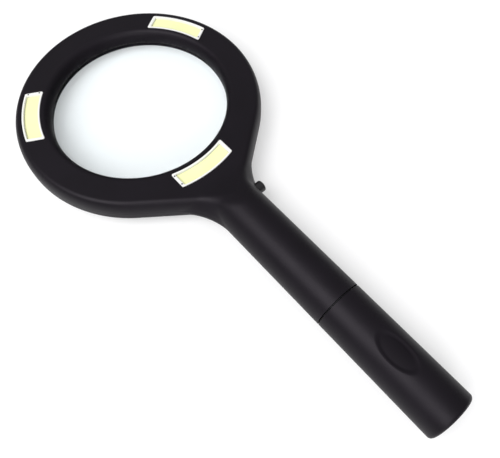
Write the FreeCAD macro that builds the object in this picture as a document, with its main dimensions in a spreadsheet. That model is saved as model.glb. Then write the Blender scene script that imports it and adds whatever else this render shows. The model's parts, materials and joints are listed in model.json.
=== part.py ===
import FreeCAD, Part

import os
import re

import Sketcher

# A lighted hand magnifier, lying on its back: a round head with a lens and three light strips, and a
# straight handle that holds two cells in line under a pull-off battery cover.
# The working frame has the lens axis as Z, the handle along -Y and the casing's parting plane at Z = 0.
# Every finished piece is then moved so that the origin is under the middle of the whole object.

DIMENSIONS = {
    # whole object
    "head_to_origin": 64.05,     # lens axis to the middle of the overall length
    "handle_radius": 10.8,
    "seam": 129.5,              # lens axis to the joint line between handle and battery cover
    "seam_gap": 0.4,
    "tail": 185.2,              # lens axis to the end of the battery cover
    "tail_round": 1.5,
    # head
    "ring_radius": 57.1,
    "half_thick": 6.0,
    "edge_round": 3.2,
    "neck_round": 4.0,          # the edges grow softer down the neck
    "soft_start": 44.0,
    "soft_end": 66.0,
    "wall": 1.7,
    "face_wall": 1.6,
    "opening_radius": 40.9,
    "opening_waist": 40.2,      # the opening narrows to this at the parting plane
    "opening_round": 2.0,
    "seat_radius": 45.3,        # bore that holds the lens rim
    "seat_wall": 46.8,          # outside of the wall round the lens
    "seat_floor": 3.75,         # depth of the ledge under the lens
    # neck
    "neck_angle": 52.0,         # half angle between the neck's two straight sides
    "neck_apex": 72.46,         # lens axis to where those sides would meet
    "neck_half": 10.1,
    "neck_fillet": 25.0,
    "neck_end": 80.0,
    "slope_start": 63.0,        # where the flat face starts to rise to the handle's full height
    "slope_end": 73.0,
    # lens
    "lens_radius": 45.0,
    "lens_curve": 245.0,
    "lens_edge": 2.0,
    "lens_rise": 4.167,         # height of each dome above the rim
    "lens_drop": 2.0,           # middle of the lens below the parting plane
    # light strips
    "strip_inner": 44.7,
    "strip_outer": 53.0,
    "strip_half_length": 13.85,
    "strip_reach": 20.5,        # half of the angle that the floor under a strip spans
    "strip_floor": 4.0,
    "strip_base": 3.0,
    "strip_gap": 0.15,
    "board_thick": 1.9,
    "pocket_depth": 1.5,        # the phosphor lies deep in a pocket in the board
    "pocket_side": 0.95,
    "pocket_end": 1.5,
    "phosphor_thick": 0.4,
    # wiring
    "wire_radius": 0.6,
    "branch_radius": 0.5,
    "loop_lead": 2.0,           # angle that a loop runs on past its first branch
    "positive_ring": 47.6,
    "positive_level": 2.2,
    "positive_turn": 3.6,       # angle from the handle's line to where the wire leaves the neck
    "negative_ring": 49.2,
    "negative_level": 0.6,
    "negative_turn": 8.8,
    "resistor_start": 57.4,
    "resistor_length": 6.3,
    "resistor_radius": 1.15,
    "lead_radius": 0.3,
    # screws
    "boss_radius": 2.4,
    "boss_ring": 52.5,
    "neck_boss_x": 11.2,
    "neck_boss_y": 58.5,
    "screw_radius": 1.0,
    "screw_tip": 3.6,
    "head_radius": 1.9,
    "head_thick": 1.2,
    "head_depth": 1.5,
    # switch and button
    "button_y": 70.2,
    "button_radius": 2.6,
    "button_reach": 14.3,
    "button_round": 0.8,
    "button_gap": 0.12,
    "flange_radius": 3.5,
    "flange_inner": 6.6,
    "flange_outer": 7.6,
    "plunger_radius": 1.2,
    "plunger_tip": 2.0,
    "switch_low": -6.5,
    "switch_high": 4.0,
    "switch_half": 3.5,
    "switch_half_height": 3.2,
    "switch_bore": 0.2,
    # batteries
    "bore_radius": 8.9,
    "bore_start": 74.6,
    "tube_outer": 8.75,
    "tube_inner": 7.5,
    "tube_start": 75.4,
    "tube_end": 176.0,
    "collar_radius": 9.6,
    "collar_start": 100.0,
    "collar_length": 2.0,
    "collar_gap": 0.1,
    "cell_radius": 7.25,
    "cell_length": 50.5,
    "cell_start": 76.0,
    "nub_radius": 2.75,
    "nub_length": 1.0,
    "contact_start": 74.7,
    "contact_radius": 6.2,
    "sheet_thick": 0.4,
    "strip_x": 8.35,
    "rail_thick": 0.3,
    "rail_width": 3.0,
    "rail_start": 74.9,
    "rail_end": 182.8,
    "cap_wall": 1.9,
    "spring_radius": 4.4,
    "spring_wire": 0.4,
    "spring_pitch": 1.65,
    # thumb recess
    "thumb_y": 156.9,
    "thumb_half_length": 10.0,
    "thumb_half_width": 5.3,
    "thumb_depth": 0.9,
}

STRIP_ANGLES = {1: -90, 2: 30, 3: 150}
POSITIVE_X = "(positive_ring * sin(positive_turn))"
NEGATIVE_X = "(negative_ring * sin(negative_turn))"
BOSS_ANGLES = (90, -30, -150)
SPRING_RINGS = 4
REACH = 300
FINISHED = []

doc = FreeCAD.newDocument("magnifier")
sheet = doc.addObject("Spreadsheet::Sheet", "Dimensions")
for row, (alias, size) in enumerate(DIMENSIONS.items(), start=1):
    sheet.set(f"A{row}", alias)
    sheet.set(f"B{row}", str(size))
    sheet.setAlias(f"B{row}", alias)
doc.recompute()

DIRECTIONS = {
    "+z": FreeCAD.Rotation(),
    "-y": FreeCAD.Rotation(FreeCAD.Vector(1, 0, 0), 90),
    "+x": FreeCAD.Rotation(FreeCAD.Vector(0, 1, 0), 90),
}


def formula(text):
    """A formula in the dimensions' names, with each name pointed at its cell."""
    return re.sub(r"[a-z]+(_[a-z]+)+|wall|seam|tail", lambda name: "Dimensions." + name.group(0), str(text))


def bind(target, **sizes):
    """Tie an object's sizes to formulas."""
    for name, text in sizes.items():
        target.setExpression(name.replace("__", "."), formula(text))
    return target


def place(solid, x=0, y=0, z=0, turn=None):
    """Put a solid at a point given by formulas, turned by a rotation."""
    solid.Placement = FreeCAD.Placement(FreeCAD.Vector(), turn or FreeCAD.Rotation())
    return bind(solid, Placement__Base__x=x, Placement__Base__y=y, Placement__Base__z=z)


def about_z(degrees):
    return FreeCAD.Rotation(FreeCAD.Vector(0, 0, 1), degrees)


def finish(solid, label, turn=None, x=0, y=0, z=0):
    """Name a finished piece and move it from the working frame to the object's frame."""
    solid.Label = label
    place(solid, x, f"head_to_origin + {y}", f"handle_radius + {z}", turn)
    FINISHED.append(solid)
    return solid


def cylinder(radius, length, x=0, y=0, z=0, along="+z"):
    solid = doc.addObject("Part::Cylinder", "Cylinder")
    bind(solid, Radius=radius, Height=length)
    return place(solid, x, y, z, DIRECTIONS[along])


def box(x, y, z):
    """A box between the two formulas given for each direction."""
    solid = doc.addObject("Part::Box", "Box")
    bind(solid, Length=f"{x[1]} - ({x[0]})", Width=f"{y[1]} - ({y[0]})", Height=f"{z[1]} - ({z[0]})")
    return place(solid, x[0], y[0], z[0])


def fused(*solids):
    joined = doc.addObject("Part::MultiFuse", "Fusion")
    joined.Shapes = list(solids)
    joined.Refine = True
    return joined


def cut(base, tool):
    difference = doc.addObject("Part::Cut", "Cut")
    difference.Base = base
    difference.Tool = tool
    difference.Refine = True
    return difference


def outline(body, plane, corners):
    """A closed sketch of straight sides whose corners sit at the given pairs of formulas."""
    sketch = body.newObject("Sketcher::SketchObject", "Outline")
    origin_planes = {item.Role: item for item in body.Origin.OriginFeatures}
    sketch.AttachmentSupport = (origin_planes[plane], [""])
    sketch.MapMode = "FlatFace"
    count = len(corners)
    rough = [FreeCAD.Vector(0, 10, 0)]
    for _ in range(count):
        rough.append(about_z(360 / count).multVec(rough[-1]))
    for start, end in zip(rough, rough[1:]):
        sketch.addGeometry(Part.LineSegment(start, end), False)
    for side in range(count):
        sketch.addConstraint(Sketcher.Constraint("Coincident", side, 2, (side + 1) % count, 1))
    for side, corner in enumerate(corners):
        for kind, rough_size, text in zip(("DistanceX", "DistanceY"), rough[side], corner):
            number = sketch.addConstraint(Sketcher.Constraint(kind, -1, 1, side, 1, rough_size))
            sketch.setExpression(f"Constraints[{number}]", formula(text))
    return sketch


def revolved(plane, axis, corners, angle=360):
    """A body turned from an outline about the sketch's own axis, evenly to both sides of its plane."""
    body = doc.addObject("PartDesign::Body", "Turned")
    turned = body.newObject("PartDesign::Revolution", "Revolution")
    turned.Profile = outline(body, plane, corners)
    turned.ReferenceAxis = (turned.Profile[0], [axis])
    turned.Midplane = True
    bind(turned, Angle=angle)
    body.Tip = turned
    doc.recompute()
    return body


def padded(plane, corners, length):
    """A body pushed out from an outline, evenly to both sides of its plane."""
    body = doc.addObject("PartDesign::Body", "Padded")
    pad = body.newObject("PartDesign::Pad", "Pad")
    pad.Profile = outline(body, plane, corners)
    pad.Midplane = True
    bind(pad, Length=length)
    body.Tip = pad
    doc.recompute()
    return body


def rounded(body, radius, wanted):
    """Round a body's edges whose middle point passes the wanted test."""
    base = body.Tip
    names = [f"Edge{number}" for number, edge in enumerate(base.Shape.Edges, start=1) if wanted(edge)]
    fillet = body.newObject("PartDesign::Fillet", "Fillet")
    fillet.Base = (base, names)
    bind(fillet, Radius=radius)
    body.Tip = fillet
    doc.recompute()
    return body


def middle(edge):
    """The point half-way along an edge."""
    return edge.valueAt((edge.FirstParameter + edge.LastParameter) / 2)


def upright(edge):
    return edge.tangentAt(edge.FirstParameter).z ** 2 > 0.99


def rectangle(low, high):
    """The four corners of an upright rectangle between two corners."""
    return [low, (high[0], low[1]), high, (low[0], high[1])]


def sector(inner, outer, bottom, top):
    """A piece of a flat ring about the lens axis, centred on +X."""
    return revolved("XZ_Plane", "V_Axis", rectangle((inner, bottom), (outer, top)), "2 * strip_reach")


def curved_bar(inset, end_inset, bottom, top, corner):
    """A light strip's outline as a solid centred on +X: curved sides, parallel ends and round corners."""
    inner = f"strip_inner + {inset}"
    outer = f"strip_outer - {inset}"
    half_length = f"strip_half_length - {end_inset}"
    ring = sector(inner, outer, bottom, top)
    between_ends = box((0, outer), (f"-({half_length})", half_length), (bottom, top))
    shared = doc.addObject("Part::MultiCommon", "SharpBar")
    shared.Shapes = [ring, between_ends]
    doc.recompute()
    bar = doc.addObject("Part::Fillet", "Bar")
    bar.Base = shared
    edges = enumerate(shared.Shape.Edges, start=1)
    bar.Edges = [(number, corner, corner) for number, edge in edges if upright(edge)]
    return bar


def neck_outline(inset):
    """The head's disc is joined to the handle by two straight sides, drawn in by the wall inside."""
    radius = f"(ring_radius - {inset})"
    apex = f"(neck_apex - {inset} / sin(neck_angle))"
    half = f"(neck_half - {inset})"
    shoulder = f"{half} / tan(neck_angle) - {apex}"
    tangent_x = f"{radius} * cos(neck_angle)"
    tangent_y = f"-{radius} * sin(neck_angle)"
    return radius, half, shoulder, tangent_x, tangent_y


def head_and_neck(inset, half_height, end):
    """The head's disc and the neck, as one flat solid, drawn in by inset."""
    radius, half, shoulder, tangent_x, tangent_y = neck_outline(inset)
    height = f"2 * ({half_height})"
    disc = cylinder(radius, height, z=f"-({half_height})")
    corners = [
        (tangent_x, tangent_y),
        (f"-{tangent_x}", tangent_y),
        (f"-{half}", shoulder),
        (f"-{half}", f"-{end}"),
        (half, f"-{end}"),
        (half, shoulder),
    ]
    return disc, padded("XY_Plane", corners, height)


def at_neck_corner(edge):
    """Is this one of the two upright edges where the neck turns into the handle?"""
    point = middle(edge)
    return upright(edge) and -72 < point.y < -62 and edge.BoundBox.ZLength > 5


def edge_softness(y):
    """The rounding of the face's edge at a point along the object: it grows down the neck."""
    start, end = DIMENSIONS["soft_start"], DIMENSIONS["soft_end"]
    share = min(max((-y - start) / (end - start), 0), 1)
    return DIMENSIONS["edge_round"] + share * (DIMENSIONS["neck_round"] - DIMENSIONS["edge_round"])


def casing_outside():
    """The outside of the whole casing: head, neck and fixed part of the handle."""
    disc, neck = head_and_neck("0", "half_thick", "neck_end")
    rounded(neck, "neck_fillet", at_neck_corner)
    plate = fused(disc, neck)
    doc.recompute()
    rims = []
    for number, edge in enumerate(plate.Shape.Edges, start=1):
        on_a_face = abs(abs(middle(edge).z) - DIMENSIONS["half_thick"]) < 1e-6
        if on_a_face and middle(edge).y > 0.01 - DIMENSIONS["neck_end"]:
            ends = [edge.valueAt(edge.FirstParameter).y, edge.valueAt(edge.LastParameter).y]
            rims.append((number, edge_softness(ends[0]), edge_softness(ends[1])))
    soft_plate = doc.addObject("Part::Fillet", "SoftPlate")
    soft_plate.Base = plate
    soft_plate.Edges = rims
    handle = cylinder("handle_radius", "seam - seam_gap / 2 - slope_start", y="-slope_start", along="-y")
    slope = [
        ("-slope_start + 5", "half_thick"),
        ("-slope_start", "half_thick"),
        ("-slope_end", "handle_radius"),
        ("-slope_end", "2 * handle_radius"),
        ("-slope_start + 5", "2 * handle_radius"),
    ]
    above = padded("YZ_Plane", slope, "3 * handle_radius")
    below = padded("YZ_Plane", [(y, f"-({z})") for y, z in slope], "3 * handle_radius")
    return fused(soft_plate, cut(handle, fused(above, below)))


def boss_points():
    """Where the casing screws stand: three round the head and two in the neck."""
    points = []
    for angle in BOSS_ANGLES:
        points.append((f"boss_ring * cos({angle})", f"boss_ring * sin({angle})"))
    points.append(("neck_boss_x", "-neck_boss_y"))
    points.append(("-neck_boss_x", "-neck_boss_y"))
    return points


def riser_points(side, ring):
    """Where a wire comes up to each light strip: a little to one side of the strip's middle."""
    return [(f"{ring} * cos({angle + side})", f"{ring} * sin({angle + side})") for angle in STRIP_ANGLES.values()]


RISERS = riser_points(6, "positive_ring") + riser_points(-6, "negative_ring")


def casing_hollow():
    """The space inside the casing, less the screw bosses and the floors under the light strips."""
    half_height = "half_thick - face_wall"
    disc, neck = head_and_neck("wall", half_height, "bore_start")
    lens_wall = cylinder("seat_wall", f"2 * ({half_height})", z=f"-({half_height})")
    kept = [lens_wall]
    for x, y in boss_points():
        kept.append(cylinder("boss_radius", "2 * half_thick", x, y, "-half_thick"))
    for angle in STRIP_ANGLES.values():
        floor = sector("seat_wall - 1", "ring_radius", "strip_base", "half_thick")
        kept.append(place(floor, turn=about_z(angle)))
    bore = cylinder("bore_radius", "seam - bore_start", y="-bore_start", along="-y")
    groove = cylinder(
        "collar_radius + collar_gap",
        "collar_length + 2 * collar_gap",
        y="-collar_start + collar_gap",
        along="-y",
    )
    return fused(cut(fused(disc, neck), fused(*kept)), bore, groove)


def lens_opening():
    """The round opening, its soft front and back edges and the stepped seat for the lens rim."""
    profile = [
        (0, "-half_thick - 1"),
        ("opening_radius + opening_round + 1", "-half_thick - 1"),
        ("opening_radius", "opening_round - half_thick"),
        ("opening_radius", "-seat_floor"),
        ("seat_radius", "-seat_floor"),
        ("seat_radius", 0),
        ("opening_waist", 0),
        ("opening_radius", "half_thick - opening_round"),
        ("opening_radius + opening_round + 1", "half_thick + 1"),
        (0, "half_thick + 1"),
    ]
    return revolved("XZ_Plane", "V_Axis", profile)


def casing_holes():
    """Everything cut through the casing's walls: strip recesses, wire holes, screws and button."""
    holes = [lens_opening()]
    for angle in STRIP_ANGLES.values():
        recess = curved_bar("0", "0", "strip_floor", "half_thick + 1", 0.8)
        holes.append(place(recess, turn=about_z(angle)))
    for x, y in RISERS:
        holes.append(cylinder("wire_radius + strip_gap", "half_thick", x, y, "strip_base - 1"))
    for x, y in boss_points():
        holes.append(cylinder("screw_radius + 0.15", "half_thick", x, y, "-half_thick"))
        holes.append(cylinder("screw_radius", "screw_tip + 0.4", x, y, 0))
        holes.append(cylinder("head_radius + 0.2", "head_depth", x, y, "-half_thick"))
    holes.append(
        cylinder("button_radius + button_gap", "neck_half * 2", "flange_outer", "-button_y", 0, along="+x")
    )
    return fused(*holes)


def shells():
    """The front and rear halves of the casing, which meet on the parting plane."""
    casing = cut(cut(casing_outside(), casing_hollow()), casing_holes())
    above = box((-REACH, REACH), (-REACH, REACH), (0, REACH))
    below = box((-REACH, REACH), (-REACH, REACH), (-REACH, 0))
    finish(cut(casing, below), "front_shell")
    finish(cut(casing, above), "rear_shell")


def lens():
    """A lens domed on both faces: the part that two large spheres share, trimmed to the rim."""
    blank = cylinder("lens_radius", "2 * lens_rise + lens_edge", z="-lens_rise - lens_edge / 2")
    faces = []
    for side in (1, -1):
        sphere = doc.addObject("Part::Sphere", "Dome")
        bind(sphere, Radius="lens_curve")
        faces.append(place(sphere, z=f"{side} * (lens_edge / 2 + lens_rise - lens_curve)"))
    shared = doc.addObject("Part::MultiCommon", "Lens")
    shared.Shapes = [blank] + faces
    finish(shared, "lens", z="-lens_drop")


def lens_gasket():
    """A soft ring that presses the lens rim into its seat. Its lower face follows the dome."""
    rim = "(lens_edge / 2 - lens_drop + 0.02)"
    inner_drop = "(lens_radius ^ 2 - (opening_radius + 0.1) ^ 2) / (2 * lens_curve)"
    profile = [
        ("opening_radius + 0.1", f"{rim} + {inner_drop}"),
        ("seat_radius - 0.2", rim),
        ("seat_radius - 0.2", 0),
        ("opening_radius + 0.1", 0),
    ]
    finish(revolved("XZ_Plane", "V_Axis", profile), "lens_gasket")


def light_strips():
    """Each strip is a white board glued in its recess, with a bar of yellow phosphor in its pocket."""
    floor = "strip_floor + board_thick - pocket_depth"
    for number, angle in STRIP_ANGLES.items():
        board = curved_bar("strip_gap", "strip_gap", "strip_floor", "strip_floor + board_thick", 0.7)
        pocket = curved_bar("pocket_side", "pocket_end", floor, "half_thick", 0.6)
        top = f"{floor} + phosphor_thick"
        phosphor = curved_bar("(pocket_side + 0.05)", "(pocket_end + 0.05)", floor, top, 0.6)
        finish(cut(board, pocket), f"led_board_{number}", about_z(angle))
        finish(phosphor, f"led_phosphor_{number}", about_z(angle))


def ring_wire(label, ring, level, turn, start, side):
    """A wire from the neck that runs round the head and comes up to each strip through its floor."""
    loop = doc.addObject("Part::Torus", "Loop")
    bind(loop, Radius1=ring, Radius2="wire_radius", Angle3=f"240 + {side} + {turn} + 2 * loop_lead")
    place(loop, z=level, turn=about_z(-90 - DIMENSIONS[turn] - DIMENSIONS["loop_lead"]))
    join_x = f"-{ring} * sin({turn})"
    join_y = f"-{ring} * cos({turn})"
    pieces = [loop, cylinder("branch_radius", f"{start} + {join_y}", join_x, join_y, level, along="-y")]
    for point_x, point_y in riser_points(side, ring):
        pieces.append(cylinder("branch_radius", f"strip_floor - {level}", point_x, point_y, level))
    finish(fused(*pieces), label)


def wiring():
    """The two wires and the resistor that limits the strips' current."""
    ring_wire("positive_wire", "positive_ring", "positive_level", "positive_turn", "resistor_start - 0.7", 6)
    ring_wire("negative_wire", "negative_ring", "negative_level", "negative_turn", "rail_start", -6)
    profile = [
        (0, 0.7),
        ("lead_radius", 0.7),
        ("lead_radius", 0),
        ("resistor_radius", 0),
        ("resistor_radius", "-resistor_length"),
        ("lead_radius", "-resistor_length"),
        ("lead_radius", "-resistor_length - 1.7"),
        (0, "-resistor_length - 1.7"),
    ]
    finish(
        revolved("XY_Plane", "V_Axis", profile),
        "ballast_resistor",
        x=f"-{POSITIVE_X}",
        y="-resistor_start",
        z="positive_level",
    )


def case_screws():
    """Five alike screws that enter from behind, modelled as one group of separate solids."""
    profile = [
        (0, "-half_thick + head_depth - head_thick"),
        ("head_radius", "-half_thick + head_depth - head_thick"),
        ("head_radius", "-half_thick + head_depth"),
        ("screw_radius", "-half_thick + head_depth"),
        ("screw_radius", "screw_tip"),
        (0, "screw_tip"),
    ]
    seat = DIMENSIONS["head_depth"] - DIMENSIONS["half_thick"]
    screws = []
    for x, y in boss_points():
        body = revolved("XZ_Plane", "V_Axis", profile)
        screws.append(place(rounded(body, 0.3, lambda edge: middle(edge).z < seat - 0.1), x, y))
    group = doc.addObject("Part::Compound", "Screws")
    group.Links = screws
    finish(group, "case_screws")


def switch():
    """The push switch in the neck, its two terminals, and the sliding plunger and button."""
    y_low = "-button_y - switch_half"
    y_high = "-button_y + switch_half"
    block = box(("switch_low", "switch_high"), (y_low, y_high), ("-switch_half_height", "switch_half_height"))
    bore = cylinder("plunger_radius + 0.1", "switch_high", "switch_bore", "-button_y", 0, along="+x")
    finish(cut(block, bore), "switch_body")
    level = ("positive_level - 0.2", "positive_level + 0.2")
    blade = (f"-{POSITIVE_X} - 0.7", f"-{POSITIVE_X} + 0.7")
    front = box(blade, (y_high, "-resistor_start - resistor_length - 1.7"), level)
    rear = box(blade, ("-contact_start", y_low), level)
    group = doc.addObject("Part::Compound", "Terminals")
    group.Links = [front, rear]
    finish(group, "switch_terminals")
    rod = rectangle(("plunger_tip", 0), ("flange_inner", "plunger_radius"))
    finish(revolved("XY_Plane", "H_Axis", rod), "switch_plunger", y="-button_y")
    cap = [
        ("flange_inner", 0),
        ("flange_inner", "flange_radius"),
        ("flange_outer", "flange_radius"),
        ("flange_outer", "button_radius"),
        ("button_reach", "button_radius"),
        ("button_reach", 0),
    ]
    body = revolved("XY_Plane", "H_Axis", cap)
    rim_x = DIMENSIONS["button_reach"]
    rounded(body, "button_round", lambda edge: edge.BoundBox.XMin > rim_x - 0.01)
    finish(body, "power_button", y="-button_y")


def battery_tube():
    """The inner tube that the cells slide into, held by its collar, with a groove for the rail."""
    profile = [
        ("tube_inner", "-tube_start"),
        ("tube_outer", "-tube_start"),
        ("tube_outer", "-collar_start"),
        ("collar_radius", "-collar_start"),
        ("collar_radius", "-collar_start - collar_length"),
        ("tube_outer", "-collar_start - collar_length"),
        ("tube_outer", "-tube_end"),
        ("tube_inner", "-tube_end"),
    ]
    tube = revolved("XY_Plane", "V_Axis", profile)
    half = "(rail_width / 2 + 0.1)"
    groove = box(("-handle_radius", "-strip_x + 0.05"), ("-tail", "-bore_start"), (f"-{half}", half))
    finish(cut(tube, groove), "battery_tube")


def return_rail():
    """The brass rail beside the cells that carries the current back from the battery cover."""
    half = "(rail_width / 2)"
    flat = box(("-strip_x - rail_thick", "-strip_x"), ("-rail_end", "-rail_start"), (f"-{half}", half))
    tab = box(("-strip_x", f"-{NEGATIVE_X} + 0.7"), ("-rail_start - rail_thick", "-rail_start"), (f"-{half}", half))
    finish(fused(flat, tab), "return_rail")


def front_contact():
    """The dished contact that the front cell's nub presses on."""
    profile = [
        (0, "-contact_start"),
        ("contact_radius", "-contact_start"),
        ("contact_radius", "-contact_start - sheet_thick"),
        ("nub_radius + 0.6", "-contact_start - sheet_thick"),
        ("nub_radius", "-cell_start"),
        (0, "-cell_start"),
    ]
    finish(revolved("XY_Plane", "V_Axis", profile), "front_contact")


def cells():
    """Two cells in line, nub towards the head."""
    profile = [
        (0, 0),
        ("nub_radius", 0),
        ("nub_radius", "-nub_length"),
        ("cell_radius", "-nub_length"),
        ("cell_radius", "-cell_length"),
        (0, "-cell_length"),
    ]
    for place_in_line, label in enumerate(("front_cell", "rear_cell")):
        body = revolved("XY_Plane", "V_Axis", profile)
        rounded(body, 0.4, lambda edge: edge.BoundBox.XLength > 14)
        finish(body, label, y=f"-cell_start - {place_in_line} * cell_length")


def tail_spring():
    """The spring in the battery cover that presses on the rear cell: rings joined by short posts."""
    pieces = []
    for turn in range(SPRING_RINGS):
        level = f"{turn} * spring_pitch"
        ring = doc.addObject("Part::Torus", "Ring")
        bind(ring, Radius1="spring_radius", Radius2="spring_wire")
        pieces.append(place(ring, z=level))
        if turn:
            post = cylinder("spring_wire / 2", "spring_pitch", "spring_radius", 0, f"{level} - spring_pitch")
            pieces.append(post)
    start = "-cell_start - 2 * cell_length - spring_wire - 0.1"
    finish(fused(*pieces), "tail_spring", DIRECTIONS["-y"], y=start)


def tail_contact():
    """The plate under the spring, which meets the rail's end."""
    plate = rectangle((0, "-tail + cap_wall"), ("bore_radius - 0.1", "-tail + cap_wall + sheet_thick"))
    finish(revolved("XY_Plane", "V_Axis", plate), "tail_contact")


def battery_cover():
    """The pull-off sleeve over the cells, closed at the tail, with an oval thumb recess on its front."""
    profile = [
        ("bore_radius", "-seam - seam_gap / 2"),
        ("handle_radius", "-seam - seam_gap / 2"),
        ("handle_radius", "-tail"),
        (0, "-tail"),
        (0, "-tail + cap_wall"),
        ("bore_radius", "-tail + cap_wall"),
    ]
    body = revolved("XY_Plane", "V_Axis", profile)
    end_y = -DIMENSIONS["tail"]
    rounded(body, "tail_round", lambda edge: edge.BoundBox.YMax < end_y + 0.01 and edge.BoundBox.XLength > 21)
    oval = doc.addObject("Part::Ellipsoid", "ThumbOval")
    bind(oval, Radius1="thumb_depth", Radius2="thumb_half_length", Radius3="thumb_half_width")
    lengthwise = FreeCAD.Rotation(FreeCAD.Vector(0, 0, 1), 90)
    place(oval, y="-thumb_y", z="handle_radius", turn=lengthwise)
    finish(cut(body, oval), "battery_cover")


def check_and_write():
    """Stop if anything failed, then write every finished piece to its own file."""
    doc.recompute()
    for item in doc.Objects:
        if {"Invalid", "Error"} & set(item.State):
            raise RuntimeError(f"{item.Label} failed: {item.State}")
    os.makedirs("parts", exist_ok=True)
    for piece in FINISHED:
        shape = piece.Shape
        if shape.isNull() or not shape.isValid() or not shape.Solids:
            raise RuntimeError(f"{piece.Label} has no valid solid")
        shape.exportStep(f"parts/{piece.Label}.step")
        print(f"{piece.Label}: {len(shape.Solids)} solid(s), {shape.Volume:.1f} mm3")


shells()
lens()
lens_gasket()
light_strips()
wiring()
case_screws()
switch()
battery_tube()
return_rail()
front_contact()
cells()
tail_spring()
tail_contact()
battery_cover()
check_and_write()
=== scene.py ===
import json
import math

import bmesh
import bpy
import numpy as np
from mathutils import Matrix, Vector


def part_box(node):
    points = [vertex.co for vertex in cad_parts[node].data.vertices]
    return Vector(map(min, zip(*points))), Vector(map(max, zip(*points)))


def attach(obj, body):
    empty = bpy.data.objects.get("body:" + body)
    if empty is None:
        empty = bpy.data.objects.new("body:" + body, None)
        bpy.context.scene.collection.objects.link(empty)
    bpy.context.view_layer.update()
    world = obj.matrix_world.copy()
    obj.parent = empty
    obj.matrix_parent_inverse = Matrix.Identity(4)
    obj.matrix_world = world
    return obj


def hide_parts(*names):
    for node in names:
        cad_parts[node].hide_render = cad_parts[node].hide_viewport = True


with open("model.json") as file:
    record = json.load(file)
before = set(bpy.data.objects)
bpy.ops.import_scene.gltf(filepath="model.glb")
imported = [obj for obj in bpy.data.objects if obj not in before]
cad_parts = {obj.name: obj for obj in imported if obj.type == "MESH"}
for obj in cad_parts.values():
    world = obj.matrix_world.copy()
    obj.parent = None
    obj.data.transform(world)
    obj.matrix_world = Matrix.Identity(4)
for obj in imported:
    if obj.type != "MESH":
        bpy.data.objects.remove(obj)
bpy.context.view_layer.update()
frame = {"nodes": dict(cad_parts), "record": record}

# A lighted hand magnifier that lies on its back. All shapes are worked out in a local frame in
# millimetres: the lens axis is Z, the handle runs along -Y, and the casing's two shells meet at Z = 0.
MM = 0.001
SHELL_LOW, SHELL_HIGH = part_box("front_shell")
RING = SHELL_HIGH[0] / MM
HEAD_Y = SHELL_HIGH[1] - RING * MM
SPLIT_Z = SHELL_LOW[2]
HANDLE = (SHELL_HIGH[2] - SPLIT_Z) / MM
TO_FRAME = Matrix.Translation((0, HEAD_Y, SPLIT_Z)) @ Matrix.Scale(MM, 4)


def local_box(node):
    """A CAD node's lowest and highest corners in the local frame."""
    low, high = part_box(node)
    back = TO_FRAME.inverted()
    return back @ Vector(low), back @ Vector(high)


# Head and neck
HALF_THICK = 6.0
FACE_EDGE = 3.2             # how far in from the outline the flat face ends
EDGE_ROUND = 3.2
WALL = 1.7
OPENING = 40.9
OPENING_FRONT = 3.2
OPENING_REAR = 2.0
SEAT = 45.3
SEAT_WALL = 46.8
SEAT_FLOOR = -3.75
NECK_ANGLE = math.radians(52)
FRONT_FILLET = 6.5          # between the head's sides and the handle's
REAR_FILLET = 11.5
ROOT_FILLET = 3.0           # between the head's flat faces and the handle's dome
DOME_START = -63.0
DOME_SLOPE = 0.52
DOME_BLEND = 2.5
ROD_START = -50.0           # the handle's round bar starts here, inside the head
HOLLOW_WALL_HEAD = 0.8      # thinnest wall that the hollow leaves in the head and in the neck
HOLLOW_WALL_NECK = 2.0
# Handle
SEAM_TOP = local_box("front_shell")[0].y
SLEEVE_LOW, SLEEVE_HIGH = local_box("battery_cover")
BORE = 8.9
BORE_START = -74.6
BULKHEAD = 1.0              # wall between the casing's hollow and the bore for the batteries
COLLAR_GROOVE = 9.7         # groove in the bore that holds the battery tube's collar
COLLAR_START = -99.9
COLLAR_END = -102.1
TAIL_ROUND = 1.5
THUMB_Y = -156.9
THUMB_HALF_LENGTH = 9.9
THUMB_HALF_WIDTH = 5.3
THUMB_DEPTH = 0.8
THUMB_ROUGHNESS = 0.72
# Light strips
STRIP_ANGLES = {1: -90, 2: 30, 3: 150}
STRIP_IN = 44.7
STRIP_OUT = 53.0
STRIP_HALF = 13.85          # half of a strip's length: its ends are parallel
STRIP_REACH = math.radians(20.5)    # half of the angle that the floor under a strip spans
STRIP_FLOOR = 4.0           # top and bottom of that floor
STRIP_BASE = 3.0
STRIP_CORNER = 0.8
STRIP_FLARE = 0.25
# Screws and button
BOSS_RADIUS = 2.4
BOSS_RING = 52.5
SCREW_SEAT = -4.5           # level on which the screws' heads sit
SCREW_HOLE = 1.15
HEAD_RECESS = 2.1
# Where each screw boss stands, and the direction in which it is joined to the casing's wall
BOSSES = [(BOSS_RING * math.cos(a), BOSS_RING * math.sin(a), a) for a in np.radians((90, -30, -150))]
BOSSES += [(11.2, -58.5, -NECK_ANGLE), (-11.2, -58.5, math.pi + NECK_ANGLE)]
BUTTON_Y = -70.2
BUTTON_RADIUS = 2.6
BUTTON_GAP = 0.15
BUTTON_HOLE_START = 8.2
# Meshing
GRID = 0.7                  # step of the grid on which the casing is meshed
TINY = 0.01                 # points closer than this are welded after a cut
ON_AXIS = 1e-6              # a smaller radius than this is one point on the axis
SPLIT_GAP = 0.06            # each shell stops this far from the plane where they meet


# ---------------------------------------------------------------- mesh helpers

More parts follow.
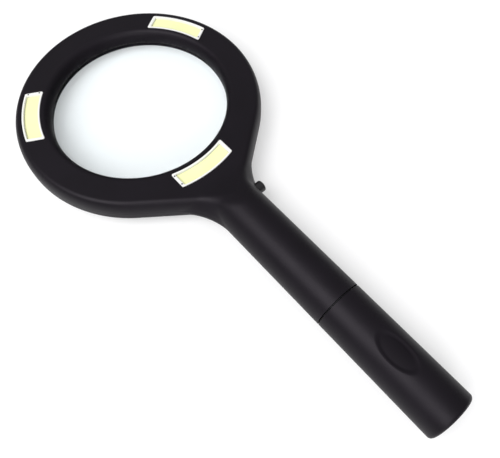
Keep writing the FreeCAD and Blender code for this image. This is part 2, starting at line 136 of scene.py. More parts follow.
def make_object(name, bm, material, sharp_angle=38):
    """Turn a bmesh in the local frame into a smooth-shaded object in the shared frame, facing outward."""
    bm.transform(TO_FRAME)
    bmesh.ops.recalc_face_normals(bm, faces=bm.faces)
    if bm.calc_volume(signed=True) < 0:
        bmesh.ops.reverse_faces(bm, faces=bm.faces)
    limit = math.radians(sharp_angle)
    for face in bm.faces:
        face.smooth = True
    for edge in bm.edges:
        edge.smooth = not (len(edge.link_faces) == 2 and edge.calc_face_angle(0) > limit)
    mesh = bpy.data.meshes.new(name)
    bm.to_mesh(mesh)
    bm.free()
    thing = bpy.data.objects.new(name, mesh)
    bpy.context.scene.collection.objects.link(thing)
    mesh.materials.append(material)
    return thing


def turned(profile, axis="Z", centre=(0, 0, 0), segments=128):
    """A closed solid turned from (radius, height) points about an axis through centre."""
    bm = bmesh.new()
    rows = []
    for radius, height in profile:
        if radius < ON_AXIS:
            rows.append([bm.verts.new((0, 0, height))])
            continue
        steps = [2 * math.pi * i / segments for i in range(segments)]
        rows.append([bm.verts.new((radius * math.cos(a), radius * math.sin(a), height)) for a in steps])
    closed = profile[0][0] > ON_AXIS
    for first, second in zip(rows, rows[1:] + (rows[:1] if closed else [])):
        join_rows(bm, first, second)
    turn = {
        "Z": Matrix.Identity(4),
        "Y": Matrix.Rotation(math.radians(-90), 4, "X"),
        "X": Matrix.Rotation(math.radians(90), 4, "Y"),
    }[axis]
    bm.transform(Matrix.Translation(centre) @ turn)
    return bm


def join_rows(bm, first, second):
    """Faces between two closed rows of points. A row of one point makes a fan."""
    count = max(len(first), len(second))
    if count == 1:
        return
    for i in range(count):
        j = (i + 1) % count
        if len(first) == 1:
            bm.faces.new((first[0], second[i], second[j]))
        elif len(second) == 1:
            bm.faces.new((first[i], second[0], first[j]))
        else:
            bm.faces.new((first[i], second[i], second[j], first[j]))


def arc(centre, radius, start, end, steps=6):
    """Points on an arc, in degrees, for a profile."""
    angles = np.radians(np.linspace(start, end, steps + 1))
    return [(centre[0] + radius * math.cos(a), centre[1] + radius * math.sin(a)) for a in angles]


def polar(radius, angle):
    """The point at a radius and an angle in radians."""
    return radius * math.cos(angle), radius * math.sin(angle)


def bar_outline(inner, outer, half_length, corner, steps=24):
    """The outline of a piece of a flat ring centred on +X, with parallel ends and round corners."""
    turn_out = math.asin((half_length - corner) / (outer - corner))
    turn_in = math.asin((half_length - corner) / (inner + corner))
    corners = [(outer - corner, turn_out, turn_out, math.pi / 2)]
    corners += [(inner + corner, turn_in, math.pi / 2, turn_in + math.pi)]
    corners += [(inner + corner, -turn_in, math.pi - turn_in, 1.5 * math.pi)]
    corners += [(outer - corner, -turn_out, 1.5 * math.pi, 2 * math.pi - turn_out)]
    rounds = [
        arc(polar(radius, turn), corner, math.degrees(start), math.degrees(end))
        for radius, turn, start, end in corners
    ]
    outer_arc = [polar(outer, angle) for angle in np.linspace(-turn_out, turn_out, steps)[1:-1]]
    inner_arc = [polar(inner, angle) for angle in np.linspace(turn_in, -turn_in, steps)[1:-1]]
    return outer_arc + rounds[0] + rounds[1] + inner_arc + rounds[2] + rounds[3]


def prism(outlines, heights):
    """A closed solid through outlines of equal point count at the given heights."""
    bm = bmesh.new()
    rows = [[bm.verts.new((x, y, z)) for x, y in outline] for outline, z in zip(outlines, heights)]
    for first, second in zip(rows, rows[1:]):
        join_rows(bm, first, second)
    bm.faces.new(rows[0][::-1])
    bm.faces.new(rows[-1])
    return bm


def merged(parts):
    """Several bmeshes in one."""
    whole = bmesh.new()
    for part in parts:
        mesh = bpy.data.meshes.new("part")
        part.to_mesh(mesh)
        part.free()
        whole.from_mesh(mesh)
        bpy.data.meshes.remove(mesh)
    return whole


def carved(bm, cutter):
    """The first bmesh less the second, by an exact boolean.

    The first keeps its own normals, because a closed hollow inside it has to stay a hollow.
    """
    bmesh.ops.recalc_face_normals(cutter, faces=cutter.faces)
    pair = []
    for name, source in (("base", bm), ("cutter", cutter)):
        mesh = bpy.data.meshes.new(name)
        source.to_mesh(mesh)
        source.free()
        thing = bpy.data.objects.new(name, mesh)
        bpy.context.scene.collection.objects.link(thing)
        pair.append(thing)
    base, tool = pair
    modifier = base.modifiers.new("carve", "BOOLEAN")
    modifier.operation = "DIFFERENCE"
    modifier.solver = "EXACT"
    modifier.object = tool
    shape = base.evaluated_get(bpy.context.evaluated_depsgraph_get()).to_mesh()
    result = bmesh.new()
    result.from_mesh(shape)
    for thing in pair:
        mesh = thing.data
        bpy.data.objects.remove(thing)
        bpy.data.meshes.remove(mesh)
    bmesh.ops.remove_doubles(result, verts=result.verts, dist=TINY)
    bmesh.ops.dissolve_degenerate(result, dist=TINY, edges=result.edges)
    many_sided = [face for face in result.faces if len(face.verts) > 4]
    bmesh.ops.triangulate(result, faces=many_sided, ngon_method="EAR_CLIP")
    bmesh.ops.dissolve_degenerate(result, dist=TINY, edges=result.edges)
    return result


# ---------------------------------------------------------------- the casing as a distance field

def smooth_union(a, b, size):
    """A union whose inner corner is softened over about the given size."""
    share = np.clip(0.5 + 0.5 * (b - a) / size, 0, 1)
    return b * (1 - share) + a * share - size * share * (1 - share)


def smooth_cut(a, b, size):
    """An intersection whose outer corner is softened over about the given size."""
    return -smooth_union(-a, -b, size)


def round_union(a, b, radius):
    """A union whose inner corner is a round fillet."""
    inside = np.hypot(np.maximum(radius - a, 0), np.maximum(radius - b, 0))
    return np.maximum(radius, np.minimum(a, b)) - inside


def round_cut(a, b, radius):
    """An intersection whose outer corner is rounded."""
    outside = np.hypot(np.maximum(radius + a, 0), np.maximum(radius + b, 0))
    return np.minimum(-radius, np.maximum(a, b)) + outside


def ramp(value, start, end):
    """A smooth step from 0 at start to 1 at end."""
    t = np.clip((value - start) / (end - start), 0, 1)
    return t * t * (3 - 2 * t)


def plan_distance(x, y):
    """Signed distance to the head's outline: a disc and two straight sides that run into the handle."""
    side = np.abs(x)
    along = side * math.sin(NECK_ANGLE) + y * math.cos(NECK_ANGLE)
    straight = side * math.cos(NECK_ANGLE) - y * math.sin(NECK_ANGLE) - RING
    disc = np.hypot(x, y) - RING
    return np.where(along > 0, disc, straight)


def joined_to_handle(plate, x, y, z):
    """The flat head, run into the round handle, whose dome rises out of the flat faces."""
    height = np.abs(z)
    dome_top = HALF_THICK + DOME_SLOPE * (DOME_START - y)
    rod = smooth_cut(np.hypot(x, z) - HANDLE, height - dome_top, DOME_BLEND)
    rod = np.maximum(rod, y - ROD_START)
    side_fillet = REAR_FILLET + (FRONT_FILLET - REAR_FILLET) * ramp(z, -4, 4)
    fillet = side_fillet + (ROOT_FILLET - side_fillet) * ramp(height, 1, 7)
    return round_union(plate, rod, fillet)


def outside_distance(x, y, z):
    """Signed distance to the casing's outside, before any hole is cut.

    The front's edge is a quarter-ellipse as tall as half the head, and the rear's is a plain round.
    """
    plan = plan_distance(x, y)
    front = round_cut(plan, (z - HALF_THICK) * FACE_EDGE / HALF_THICK, FACE_EDGE)
    rear = round_cut(plan, -z - HALF_THICK, EDGE_ROUND)
    return joined_to_handle(np.where(z > 0, front, rear), x, y, z)


def hollow_distance(x, y, z, outside):
    """Signed distance to the space inside the casing."""
    ring = np.hypot(x, y)
    plate = round_cut(plan_distance(x, y), np.abs(z) - HALF_THICK, EDGE_ROUND)
    least_wall = HOLLOW_WALL_HEAD + (HOLLOW_WALL_NECK - HOLLOW_WALL_HEAD) * ramp(-y, 48, 56)
    hollow = np.maximum(joined_to_handle(plate, x, y, z) + WALL, outside + least_wall)
    hollow = np.maximum(hollow, SEAT_WALL - ring)
    hollow = np.maximum(hollow, BORE_START + BULKHEAD - y)
    for boss_x, boss_y, outward in BOSSES:
        along = (x - boss_x) * math.cos(outward) + (y - boss_y) * math.sin(outward)
        across = (y - boss_y) * math.cos(outward) - (x - boss_x) * math.sin(outward)
        hollow = np.maximum(hollow, BOSS_RADIUS - np.hypot(np.minimum(along, 0), across))
    for angle in STRIP_ANGLES.values():
        turn = np.abs((np.arctan2(y, x) - math.radians(angle) + math.pi) % (2 * math.pi) - math.pi)
        beside = (turn - STRIP_REACH) * STRIP_OUT
        floor = np.maximum(np.maximum(beside, STRIP_BASE - z), ring - RING)
        hollow = np.maximum(hollow, -floor)
    bore = np.maximum(np.hypot(x, z) - BORE, y - BORE_START)
    seat = np.maximum(ring - SEAT, np.maximum(z, SEAT_FLOOR - z))
    return np.minimum(np.minimum(hollow, bore), seat)


def casing_distance(x, y, z):
    """Signed distance to the casing's material."""
    outside = outside_distance(x, y, z)
    opening = OPENING - np.hypot(x, y)
    front = round_cut(outside, opening, OPENING_FRONT)
    rear = round_cut(outside, opening, OPENING_REAR)
    return np.maximum(np.where(z > 0, front, rear), -hollow_distance(x, y, z, outside))


def grid_crossings(value, axes, axis, step):
    """Grid edges along an axis that cross zero, the points where they do, and which ones start inside."""
    ahead = [slice(None)] * 3
    behind = [slice(None)] * 3
    ahead[axis] = slice(1, None)
    behind[axis] = slice(None, -1)
    start, end = value[tuple(behind)], value[tuple(ahead)]
    crossed = (start < 0) != (end < 0)
    start, end = start[crossed], end[crossed]
    edges = np.argwhere(crossed)
    points = np.stack([axes[k][edges[:, k]] for k in range(3)], axis=1)
    points[:, axis] += start / (start - end) * step
    return edges, points, start < 0


def cells_beside(edges, axis, shifts, shape):
    """The cells beside grid edges, shifted back along the two axes across them, and which ones exist."""
    cells = edges.copy()
    across = [k for k in range(3) if k != axis]
    for k, shift in zip(across, shifts):
        cells[:, k] -= shift
    return cells, np.all((cells >= 0) & (cells < shape), axis=1)


def surface_net(distance, low, high, step):
    """Points and four-sided faces where a distance field is zero, one point in each crossed cell."""
    axes = [np.arange(a, b + step, step) for a, b in zip(low, high)]
    value = distance(*np.meshgrid(*axes, indexing="ij"))
    crossings = [grid_crossings(value, axes, axis, step) for axis in range(3)]
    shape = tuple(n - 1 for n in value.shape)
    total = np.zeros(shape + (3,))
    count = np.zeros(shape)
    for axis, (edges, points, _) in enumerate(crossings):
        for shifts in ((0, 0), (0, 1), (1, 0), (1, 1)):
            cells, exist = cells_beside(edges, axis, shifts, shape)
            spot = tuple(cells[exist].T)
            np.add.at(total, spot, points[exist])
            np.add.at(count, spot, 1)
    used = tuple(np.argwhere(count > 0).T)
    number = np.full(shape, -1)
    number[used] = np.arange(len(used[0]))
    faces = []
    for axis, (edges, _, starts_inside) in enumerate(crossings):
        corners = []
        for shifts in ((0, 0), (1, 0), (1, 1), (0, 1)):
            cells, exist = cells_beside(edges, axis, shifts, shape)
            found = np.full(len(cells), -1)
            found[exist] = number[tuple(cells[exist].T)]
            corners.append(found)
        corners = np.stack(corners, axis=1)
        whole = np.all(corners >= 0, axis=1)
        flip = starts_inside ^ (axis == 1)
        corners = np.where(flip[:, None], corners, corners[:, ::-1])
        faces.append(corners[whole])
    return settle(distance, total[used] / count[used][:, None]), np.concatenate(faces)


def settle(distance, points, rounds=3, reach=0.05, most=0.35):
    """Move points along the field's slope until they lie on its zero."""
    for _ in range(rounds):
        value = distance(*points.T)
        slope = np.empty_like(points)
        for axis in range(3):
            step = np.zeros(3)
            step[axis] = reach
            slope[:, axis] = (distance(*(points + step).T) - distance(*(points - step).T)) / (2 * reach)
        size = np.maximum((slope ** 2).sum(axis=1), 0.05)
        move = -value[:, None] * slope / size[:, None]
        length = np.linalg.norm(move, axis=1, keepdims=True)
        points = points + move * np.minimum(1, most / np.maximum(length, 1e-9))
    return points


def casing_mesh():
    """The whole casing as one closed bmesh, a little longer than it will be at the seam."""
    beside, above = 2.1, 1.4
    low = (-RING - beside, SEAM_TOP - beside, -HANDLE - above)
    high = (RING + beside, RING + beside, HANDLE + above)
    points, faces = surface_net(casing_distance, low, high, GRID)
    mesh = bpy.data.meshes.new("casing")
    mesh.from_pydata(points.tolist(), [], faces.tolist())
    bm = bmesh.new()
    bm.from_mesh(mesh)
    bpy.data.meshes.remove(mesh)
    return bm


def sliced(bm, point, normal):
    """Keep what lies behind a plane, and close the cut."""
    everything = bm.verts[:] + bm.edges[:] + bm.faces[:]
    result = bmesh.ops.bisect_plane(
        bm, geom=everything, dist=1e-5, plane_co=point, plane_no=normal, clear_outer=True
    )
    rim = [item for item in result["geom_cut"] if isinstance(item, bmesh.types.BMEdge)]
    bmesh.ops.triangle_fill(bm, edges=rim, use_beauty=True, use_dissolve=False, normal=normal)
    return bm


# ---------------------------------------------------------------- materials

def blank_material(name):
    """A material with a Principled shader, and its node tree."""
    material = bpy.data.materials.new(name)
    material.use_nodes = True
    tree = material.node_tree
    shader = next(node for node in tree.nodes if node.type == "BSDF_PRINCIPLED")
    return material, tree, shader


def noise(tree, scale, detail):
    """Noise fixed to the object, with scale in cycles per metre."""
    place = tree.nodes.new("ShaderNodeTexCoord")
    texture = tree.nodes.new("ShaderNodeTexNoise")
    texture.inputs["Scale"].default_value = scale
    texture.inputs["Detail"].default_value = detail
    texture.inputs["Roughness"].default_value = 0.55
    tree.links.new(place.outputs["Object"], texture.inputs["Vector"])
    return texture.outputs["Fac"]


def spread(tree, socket, low, high, start=0.3, end=0.7):
    """Map a 0 to 1 value to the range low to high."""
    node = tree.nodes.new("ShaderNodeMapRange")
    node.inputs["From Min"].default_value = start
    node.inputs["From Max"].default_value = end
    node.inputs["To Min"].default_value = low
    node.inputs["To Max"].default_value = high
    tree.links.new(socket, node.inputs["Value"])
    return node.outputs["Result"]


def blend_colours(tree, share, first, second):
    """A colour that goes from the first to the second as the share goes from 0 to 1."""
    node = tree.nodes.new("ShaderNodeMix")
    node.data_type = "RGBA"
    node.inputs["A"].default_value = (*first, 1)
    node.inputs["B"].default_value = (*second, 1)
    tree.links.new(share, node.inputs["Factor"])
    return node.outputs["Result"]


def bump(tree, shader, layers):
    """Chain bumps, each a (height socket, depth in metres) pair, into the shader's normal."""
    normal = None
    for height, depth in layers:
        node = tree.nodes.new("ShaderNodeBump")
        node.inputs["Strength"].default_value = 1.0
        node.inputs["Distance"].default_value = depth
        tree.links.new(height, node.inputs["Height"])
        if normal:
            tree.links.new(normal, node.inputs["Normal"])
        normal = node.outputs["Normal"]
    tree.links.new(normal, shader.inputs["Normal"])


def moulded_nodes(name, dark, light, rough_low, rough_high, grain=2600, depth=0.00002, gloss=0.5):
    """Moulded plastic or rubber: fine grain, slow changes of gloss and a little colour variation."""
    material, tree, shader = blank_material(name)
    slow = noise(tree, 45, 4)
    fine = noise(tree, grain, 2)
    tree.links.new(blend_colours(tree, spread(tree, slow, 0, 1), dark, light), shader.inputs["Base Color"])
    tree.links.new(spread(tree, slow, rough_low, rough_high), shader.inputs["Roughness"])
    shader.inputs["Specular IOR Level"].default_value = gloss
    bump(tree, shader, [(fine, depth), (noise(tree, grain / 6, 2), depth * 1.5)])
    return material, tree, shader


def moulded(*look):
    """The moulded material alone."""
    return moulded_nodes(*look)[0]


def casing_plastic(name):
    """The casing's black plastic, with its node tree."""
    dark, light = (0.003, 0.0022, 0.0038), (0.0045, 0.0033, 0.0057)
    material, tree, shader = moulded_nodes(name, dark, light, 0.44, 0.52, gloss=0.2)
    shader.inputs["Specular Tint"].default_value = (0.97, 0.9, 1, 1)
    return material, tree, shader


def metal(name, dark, light, rough_low, rough_high):
    """Bare or plated metal with fine marks and a little tarnish."""
    material, tree, shader = blank_material(name)
    shader.inputs["Metallic"].default_value = 1.0
    slow = noise(tree, 250, 4)
    tree.links.new(blend_colours(tree, spread(tree, slow, 0, 1), dark, light), shader.inputs["Base Color"])
    tree.links.new(spread(tree, slow, rough_low, rough_high), shader.inputs["Roughness"])
    bump(tree, shader, [(noise(tree, 1500, 3), 0.000008)])
    return material


def clear_lens():
    """Polished acrylic with a few faint smears in its gloss."""
    material, tree, shader = blank_material("clear_lens")
    shader.inputs["Base Color"].default_value = (0.8, 0.835, 0.845, 1)
    shader.inputs["Transmission Weight"].default_value = 1.0
    shader.inputs["IOR"].default_value = 1.49
    tree.links.new(spread(tree, noise(tree, 60, 5), 0.0, 0.03), shader.inputs["Roughness"])
    return material


def gripped_plastic():
    """The casing's plastic, with a duller oval where the thumb rests."""
    material, tree, shader = casing_plastic("gripped_plastic")
    place = tree.nodes.new("ShaderNodeTexCoord")
    oval = tree.nodes.new("ShaderNodeMapping")
    oval.inputs["Scale"].default_value = (1 / (THUMB_HALF_WIDTH * MM), 1 / (THUMB_HALF_LENGTH * MM), 0)
    oval.inputs["Location"].default_value = (0, -(HEAD_Y / MM + THUMB_Y) / THUMB_HALF_LENGTH, 0)
    tree.links.new(place.outputs["Object"], oval.inputs["Vector"])
    away = tree.nodes.new("ShaderNodeVectorMath")
    away.operation = "LENGTH"
    tree.links.new(oval.outputs["Vector"], away.inputs["Vector"])
    rougher = tree.nodes.new("ShaderNodeMath")
    rougher.operation = "MAXIMUM"
    tree.links.new(shader.inputs["Roughness"].links[0].from_socket, rougher.inputs[0])
    tree.links.new(spread(tree, away.outputs["Value"], THUMB_ROUGHNESS, 0, 0.84, 0.94), rougher.inputs[1])
    tree.links.new(rougher.outputs["Value"], shader.inputs["Roughness"])
    return material


def make_materials():
    """Every material by the name of its slot, and the one for the gripped part of the battery cover."""
    return {
        "black_plastic": casing_plastic("black_plastic")[0],
        "gripped_plastic": gripped_plastic(),
        "button_plastic": moulded(
            "button_plastic", (0.004, 0.0034, 0.005), (0.006, 0.005, 0.007), 0.25, 0.35
        ),
        "gasket_rubber": moulded("gasket_rubber", (0.012, 0.012, 0.012), (0.02, 0.02, 0.02), 0.7, 0.85),
        "white_board": moulded(
            "white_board", (0.8, 0.8, 0.78), (0.88, 0.88, 0.86), 0.35, 0.5, 4000, 0.000008
        ),
        "yellow_phosphor": moulded(
            "yellow_phosphor", (0.82, 0.84, 0.44), (0.86, 0.88, 0.5), 0.4, 0.55, 3000, 0.00003
        ),
        "red_wire": moulded("red_wire", (0.45, 0.02, 0.02), (0.55, 0.03, 0.03), 0.35, 0.5),
        "black_wire": moulded("black_wire", (0.02, 0.02, 0.02), (0.03, 0.03, 0.03), 0.35, 0.5),
        "resistor_coat": moulded("resistor_coat", (0.5, 0.38, 0.24), (0.6, 0.48, 0.32), 0.4, 0.55),
        "switch_plastic": moulded("switch_plastic", (0.02, 0.02, 0.022), (0.03, 0.03, 0.032), 0.25, 0.35),
        "plunger_plastic": moulded("plunger_plastic", (0.75, 0.75, 0.72), (0.82, 0.82, 0.8), 0.3, 0.4),
        "tube_plastic": moulded("tube_plastic", (0.035, 0.035, 0.04), (0.05, 0.05, 0.055), 0.4, 0.55),
        "cell_jacket": metal("cell_jacket", (0.12, 0.14, 0.2), (0.16, 0.18, 0.26), 0.25, 0.35),
        "screw_steel": metal("screw_steel", (0.45, 0.45, 0.46), (0.6, 0.6, 0.62), 0.25, 0.4),
        "contact_brass": metal("contact_brass", (0.6, 0.43, 0.16), (0.78, 0.6, 0.28), 0.2, 0.35),
        "spring_steel": metal("spring_steel", (0.6, 0.6, 0.62), (0.75, 0.75, 0.77), 0.15, 0.3),
        "solder": metal("solder", (0.1, 0.1, 0.1), (0.2, 0.2, 0.2), 0.4, 0.6),
        "clear_lens": clear_lens(),
    }


MATERIALS = make_materials()
PARTS = {entry["node"]: entry["material_slot"] for entry in frame["record"]["subparts"]}


def paint_cad_nodes():
    """Every CAD node gets its slot's material. Those that are replaced below are hidden."""
    for node, thing in frame["nodes"].items():
        for place in thing.material_slots:
            place.material = MATERIALS[PARTS[node]]


def install(piece, node, body):
    """A finished piece stands for its CAD node and moves with its body."""
    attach(piece, body)
    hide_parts(node)


# ---------------------------------------------------------------- pieces

def spun_copies(bm_maker, angles):
    """Copies of a shape centred on +X, turned about the lens axis."""
    copies = []
    for angle in angles:
        bm = bm_maker()
        bm.transform(Matrix.Rotation(math.radians(angle), 4, "Z"))
        copies.append(bm)
    return merged(copies)


def strip_layer(inset, end_inset, corner):
    """The outline of a strip's layer, drawn in from the sides and ends of its recess."""
    return bar_outline(STRIP_IN + inset, STRIP_OUT - inset, STRIP_HALF - end_inset, corner)


def strip_cutter():
    """The recess for one light strip, with a slightly flared mouth."""
    mouth = 2 * STRIP_FLARE
    straight = strip_layer(0, 0, STRIP_CORNER)
    flared = strip_layer(-mouth, -mouth, STRIP_CORNER + mouth)
    heights = (STRIP_FLOOR, HALF_THICK - STRIP_FLARE, HALF_THICK + STRIP_FLARE, HALF_THICK + 2)
    return prism([straight, straight, flared, flared], heights)


def button_cutter():
    """The round hole for the button, in the right-hand side of the neck."""
    hole = BUTTON_RADIUS + BUTTON_GAP
    start, outside = BUTTON_HOLE_START, 20
    profile = [(0, start), (hole, start), (hole, outside), (0, outside)]
    return turned(profile, "X", (0, BUTTON_Y, 0), 48)


def collar_cutter():
    """The groove in the bore for the battery tube's collar."""
    inner = BORE - 1
    profile = [(inner, COLLAR_START), (COLLAR_GROOVE, COLLAR_START)]
    profile += [(COLLAR_GROOVE, COLLAR_END), (inner, COLLAR_END)]
    return turned(profile, "Y")


def screw_cutters():
    """The flared recess for each screw's head, with the hole for its shank."""
    profile = [(0, -8), (HEAD_RECESS + 0.5, -8), (HEAD_RECESS, SCREW_SEAT - 1.25)]
    profile += [(HEAD_RECESS, SCREW_SEAT), (SCREW_HOLE, SCREW_SEAT), (SCREW_HOLE, 1), (0, 1)]
    return merged([turned(profile, "Z", (x, y, 0), 40) for x, y, _ in BOSSES])


def build_shells():
    """The front and rear shells, cut from one casing shape."""
    casing = sliced(casing_mesh(), (0, SEAM_TOP, 0), (0, -1, 0))
    casing = carved(casing, merged([button_cutter(), collar_cutter()]))
    rear = casing.copy()
    front = sliced(casing, (0, 0, SPLIT_GAP), (0, 0, -1))
    front = carved(front, spun_copies(strip_cutter, STRIP_ANGLES.values()))
    install(make_object("front_shell_skin", front, MATERIALS["black_plastic"]), "front_shell", "casing")
    rear = sliced(rear, (0, 0, -SPLIT_GAP), (0, 0, 1))
    rear = carved(rear, screw_cutters())
    install(make_object("rear_shell_skin", rear, MATERIALS["black_plastic"]), "rear_shell", "casing")


def build_lens():
    """The lens, domed on both faces, with a fine bevel at its rim."""
    low, high = local_box("lens")
    centre = (low.z + high.z) / 2
    radius = high.x
    curve = 245.0
    half_edge = 1.0
    bevel = 0.2
    steps = np.linspace(0, radius - bevel, 36)
    top = [(r, high.z - curve + math.sqrt(curve ** 2 - r ** 2)) for r in steps]
    bottom = [(r, 2 * centre - z) for r, z in reversed(top)]
    rim = half_edge - bevel
    profile = top + [(radius, centre + rim), (radius, centre - rim)] + bottom
    lens = make_object("lens_glass", turned(profile, segments=192), MATERIALS["clear_lens"])
    lens.visible_shadow = False
    install(lens, "lens", "casing")


def layered(rows):
    """A closed solid through strip layers, each given as side inset, end inset, corner and height."""
    return prism([strip_layer(*row[:3]) for row in rows], [row[3] for row in rows])


def solder_joint(radius, top):
    """A small bead of solder at a strip's end, at the given distance from the lens axis."""
    y = 0.85 - STRIP_HALF
    x = math.sqrt(radius ** 2 - y ** 2)
    bead = [(0, top - 0.1), (0.4, top - 0.1), (0.4, top + 0.02)]
    bead += [(0.3, top + 0.1), (0.12, top + 0.14), (0, top + 0.15)]
    joint = turned(bead, "Z", (x, y, 0), 20)
    for face in joint.faces:
        face.material_index = 1
    return joint


def build_tray(number, turn):
    """A strip's white board: a deep tray with a soft rim and two solder joints."""
    low, high = local_box(f"led_board_{number}")
    floor = local_box(f"led_phosphor_{number}")[0].z
    tray = layered([
        (0.15, 0.15, 0.7, low.z),
        (0.15, 0.15, 0.7, high.z - 0.15),
        (0.2, 0.2, 0.65, high.z - 0.04),
        (0.3, 0.3, 0.6, high.z),
        (0.75, 1.3, 0.6, high.z),
        (0.87, 1.42, 0.55, high.z - 0.05),
        (0.93, 1.48, 0.5, high.z - 0.2),
        (0.95, 1.5, 0.5, floor),
    ])
    joints = [solder_joint(radius, high.z) for radius in (STRIP_IN + 1.7, STRIP_OUT - 1.7)]
    whole = merged([tray] + joints)
    whole.transform(turn)
    piece = make_object(f"led_board_{number}_tray", whole, MATERIALS["white_board"])
    piece.data.materials.append(MATERIALS["solder"])
    install(piece, f"led_board_{number}", "casing")


def build_phosphor(number, turn):
    """A strip's yellow bar, sunk in its tray, with soft edges."""
    low, high = local_box(f"led_phosphor_{number}")
    phosphor = layered([
        (1.05, 1.6, 0.5, low.z),
        (1.05, 1.6, 0.5, high.z - 0.12),
        (1.15, 1.7, 0.46, high.z - 0.03),
        (1.4, 1.95, 0.4, high.z),
        (2.2, 2.8, 0.3, high.z + 0.02),
    ])
    phosphor.transform(turn)
    piece = make_object(f"led_phosphor_{number}_bar", phosphor, MATERIALS["yellow_phosphor"])
    install(piece, f"led_phosphor_{number}", "casing")


def build_strips():
    """The three light strips, turned about the lens axis."""
    for number, angle in STRIP_ANGLES.items():
        turn = Matrix.Rotation(math.radians(angle), 4, "Z")
        build_tray(number, turn)
        build_phosphor(number, turn)


def build_button():
    """The push-button cap, with a soft rim, a slightly dished end and a hidden flange."""
    low, high = local_box("power_button")
    start, end = low.x, high.x
    flange = high.z
    thick, bevel, rounding = 1.0, 0.1, 0.8
    rim = arc((BUTTON_RADIUS - rounding, end - rounding), rounding, 0, 90, 8)
    dish = [(1.3, end - 0.05), (0.7, end - 0.14), (0, end - 0.17)]
    profile = [(0, start), (flange - bevel, start), (flange, start + bevel)]
    profile += [(flange, start + thick - bevel), (flange - bevel, start + thick)]
    profile += [(BUTTON_RADIUS, start + thick)] + rim + dish
    cap = turned(profile, "X", (0, BUTTON_Y, 0), 64)
    piece = make_object("power_button_cap", cap, MATERIALS["button_plastic"])
    install(piece, "power_button", "power_button")


def build_sleeve():
    """The battery cover: a closed sleeve with a rounded tail and an oval thumb recess on its front."""
    top = SLEEVE_HIGH.y
    tail = SLEEVE_LOW.y
    edge = 0.25
    cap, corner = 1.9, 0.3
    profile = [(BORE, top), (HANDLE - edge, top), (HANDLE, top - edge)]
    profile += [(HANDLE, y) for y in np.arange(top - 1, tail + TAIL_ROUND + 0.3, -0.5)]
    profile += arc((HANDLE - TAIL_ROUND, tail + TAIL_ROUND), TAIL_ROUND, 0, -90, 10)
    profile += [(5, tail), (0, tail), (0, tail + cap), (BORE - corner, tail + cap)]
    profile += [(BORE, tail + cap + corner)]
    bm = turned(profile, "Y", segments=160)
    press_thumb_recess(bm)
    piece = make_object("battery_cover_sleeve", bm, MATERIALS["gripped_plastic"])
    install(piece, "battery_cover", "battery_cover")


def press_thumb_recess(bm):
    """Sink an oval with a soft edge into the front of the sleeve."""
    for vert in bm.verts:
        x, y, z = vert.co
        radius = math.hypot(x, z)
        if z < 0 or radius < HANDLE - 0.1:
            continue
        across = math.atan2(x, z) * HANDLE
        oval = math.hypot(across / THUMB_HALF_WIDTH, (y - THUMB_Y) / THUMB_HALF_LENGTH)
        past_rim = (oval - 1) * THUMB_HALF_WIDTH
        sink = THUMB_DEPTH * float(1 - ramp(past_rim, -1.4, 0.1))
        vert.co = (x * (1 - sink / radius), y, z * (1 - sink / radius))


def build_spring():
    """The battery spring: one wire wound to a cylinder, with flat turns at both ends."""
    low, high = local_box("tail_spring")
    wire = 0.38
    radius = high.x - wire - 0.02
    turns = 5
    steps = turns * 40
    around = [2 * math.pi * k / 12 for k in range(12)]
    first = high.y - wire
    last = low.y + wire
    bm = bmesh.new()
    rows = []
    for i in range(steps + 1):
        share = i / steps
        angle = 2 * math.pi * turns * share
        y = first + (last - first) * float(ramp(share, 0.5 / turns, 1 - 0.5 / turns))
        out = Vector((math.cos(angle), 0, math.sin(angle)))
        middle = out * radius + Vector((0, y, 0))
        section = [middle + wire * (out * math.cos(a) + Vector((0, math.sin(a), 0))) for a in around]
        rows.append([bm.verts.new(point) for point in section])
    for before, after in zip(rows, rows[1:]):
        join_rows(bm, before, after)
    bm.faces.new(rows[0][::-1])
    bm.faces.new(rows[-1])
    install(make_object("tail_spring_coil", bm, MATERIALS["spring_steel"]), "tail_spring", "battery_cover")


def cross_slot(top):
    """A cross-shaped cutter for the slots in a screw's head."""
    arm, half = 1.0, 0.16
    quarter = [(arm, -half), (arm, half), (half, half)]
    cross = []
    for turn in range(4):
        spin = Matrix.Rotation(turn * math.pi / 2, 2)
        cross += [tuple(spin @ Vector(corner)) for corner in quarter]
    return prism([cross, cross], (top - 0.5, top + 0.65))


def build_screws():
    """Five pan-head screws with cross slots, seen in the recesses of the rear shell."""
    low, high = local_box("case_screws")
    top, tip = low.z, high.z
    seat = top + 1.2
    profile = [(0, top), (1.2, top + 0.02), (1.65, top + 0.15), (1.9, top + 0.45), (1.9, seat), (1, seat)]
    profile += [(1, tip - 0.3), (0.6, tip), (0, tip)]
    screws = []
    for x, y, _ in BOSSES:
        slots = cross_slot(top)
        slots.transform(Matrix.Translation((x, y, 0)))
        screws.append(carved(turned(profile, "Z", (x, y, 0), 40), slots))
    piece = make_object("case_screws_set", merged(screws), MATERIALS["screw_steel"], 30)
    install(piece, "case_screws", "casing")


# ---------------------------------------------------------------- stage

# Where the camera stands, where it looks and which way is up, in the shared frame
CAMERA_PLACE = Vector((-0.0629, -0.0887, 0.2027))
CAMERA_LOOK = Vector((0.2777, 0.3305, -0.902))
CAMERA_UP = Vector((0.6025, 0.6714, 0.4315))
CAMERA_LENS = 36.78
# Brightness of the sky at the horizon and overhead, and of the floor by itself
SKY_LOW = 0.18
SKY_HIGH = 0.65
FLOOR_GLOW = 0.39


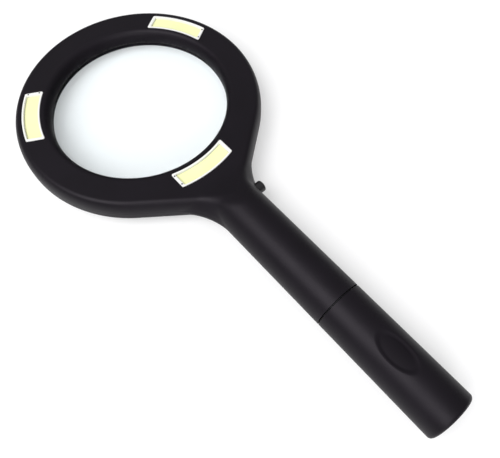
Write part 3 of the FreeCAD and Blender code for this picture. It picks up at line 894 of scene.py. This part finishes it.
def build_camera():
    """A close wide-angle view down from the left of the handle."""
    data = bpy.data.cameras.new("camera")
    data.lens = CAMERA_LENS
    data.sensor_width = 36
    data.clip_start = 0.005
    camera = bpy.data.objects.new("camera", data)
    bpy.context.scene.collection.objects.link(camera)
    back = -CAMERA_LOOK.normalized()
    right = CAMERA_UP.cross(back).normalized()
    up = back.cross(right)
    turn = Matrix((right, up, back)).transposed().to_4x4()
    camera.matrix_world = Matrix.Translation(CAMERA_PLACE) @ turn
    bpy.context.scene.camera = camera


def build_floor():
    """A large pale floor that is a little bright of its own."""
    bm = bmesh.new()
    bmesh.ops.create_grid(bm, x_segments=8, y_segments=8, size=3)
    mesh = bpy.data.meshes.new("floor")
    bm.to_mesh(mesh)
    bm.free()
    floor = bpy.data.objects.new("floor", mesh)
    bpy.context.scene.collection.objects.link(floor)
    material, tree, shader = blank_material("pale_floor")
    paper = blend_colours(tree, noise(tree, 30, 3), (0.6, 0.6, 0.605), (0.63, 0.63, 0.635))
    tree.links.new(paper, shader.inputs["Base Color"])
    shader.inputs["Emission Color"].default_value = (1, 1, 1, 1)
    shader.inputs["Emission Strength"].default_value = FLOOR_GLOW
    shader.inputs["Roughness"].default_value = 0.9
    shader.inputs["Specular IOR Level"].default_value = 0.1
    mesh.materials.append(material)


def soft_light(name, direction, distance, size, power):
    """A square softbox that faces the middle of the object."""
    data = bpy.data.lights.new(name, "AREA")
    data.shape = "SQUARE"
    data.size = size
    data.energy = power
    lamp = bpy.data.objects.new(name, data)
    bpy.context.scene.collection.objects.link(lamp)
    away = Vector(direction).normalized()
    facing = away.to_track_quat("Z", "Y").to_matrix().to_4x4()
    lamp.matrix_world = Matrix.Translation(away * distance) @ facing


def build_lights():
    """Two softboxes on the left and a pale sky that is brighter overhead."""
    soft_light("key_light", (-0.55, 0.04, 0.83), 1.1, 0.74, 9.4)
    soft_light("low_light", (-0.52, -0.66, 0.5), 1.3, 0.6, 4)
    world = bpy.data.worlds.new("studio")
    world.use_nodes = True
    tree = world.node_tree
    direction = tree.nodes.new("ShaderNodeTexCoord").outputs["Generated"]
    height = tree.nodes.new("ShaderNodeSeparateXYZ")
    tree.links.new(direction, height.inputs["Vector"])
    strength = spread(tree, height.outputs["Z"], SKY_LOW, SKY_HIGH, 0.0, 0.8)
    tree.links.new(strength, tree.nodes["Background"].inputs["Strength"])
    tree.nodes["Background"].inputs["Color"].default_value = (1, 1, 1, 1)
    bpy.context.scene.world = world
    bpy.context.scene.view_settings.view_transform = "Standard"


build_camera()
paint_cad_nodes()
build_shells()
build_lens()
build_strips()
build_button()
build_sleeve()
build_spring()
build_screws()
build_floor()
build_lights()
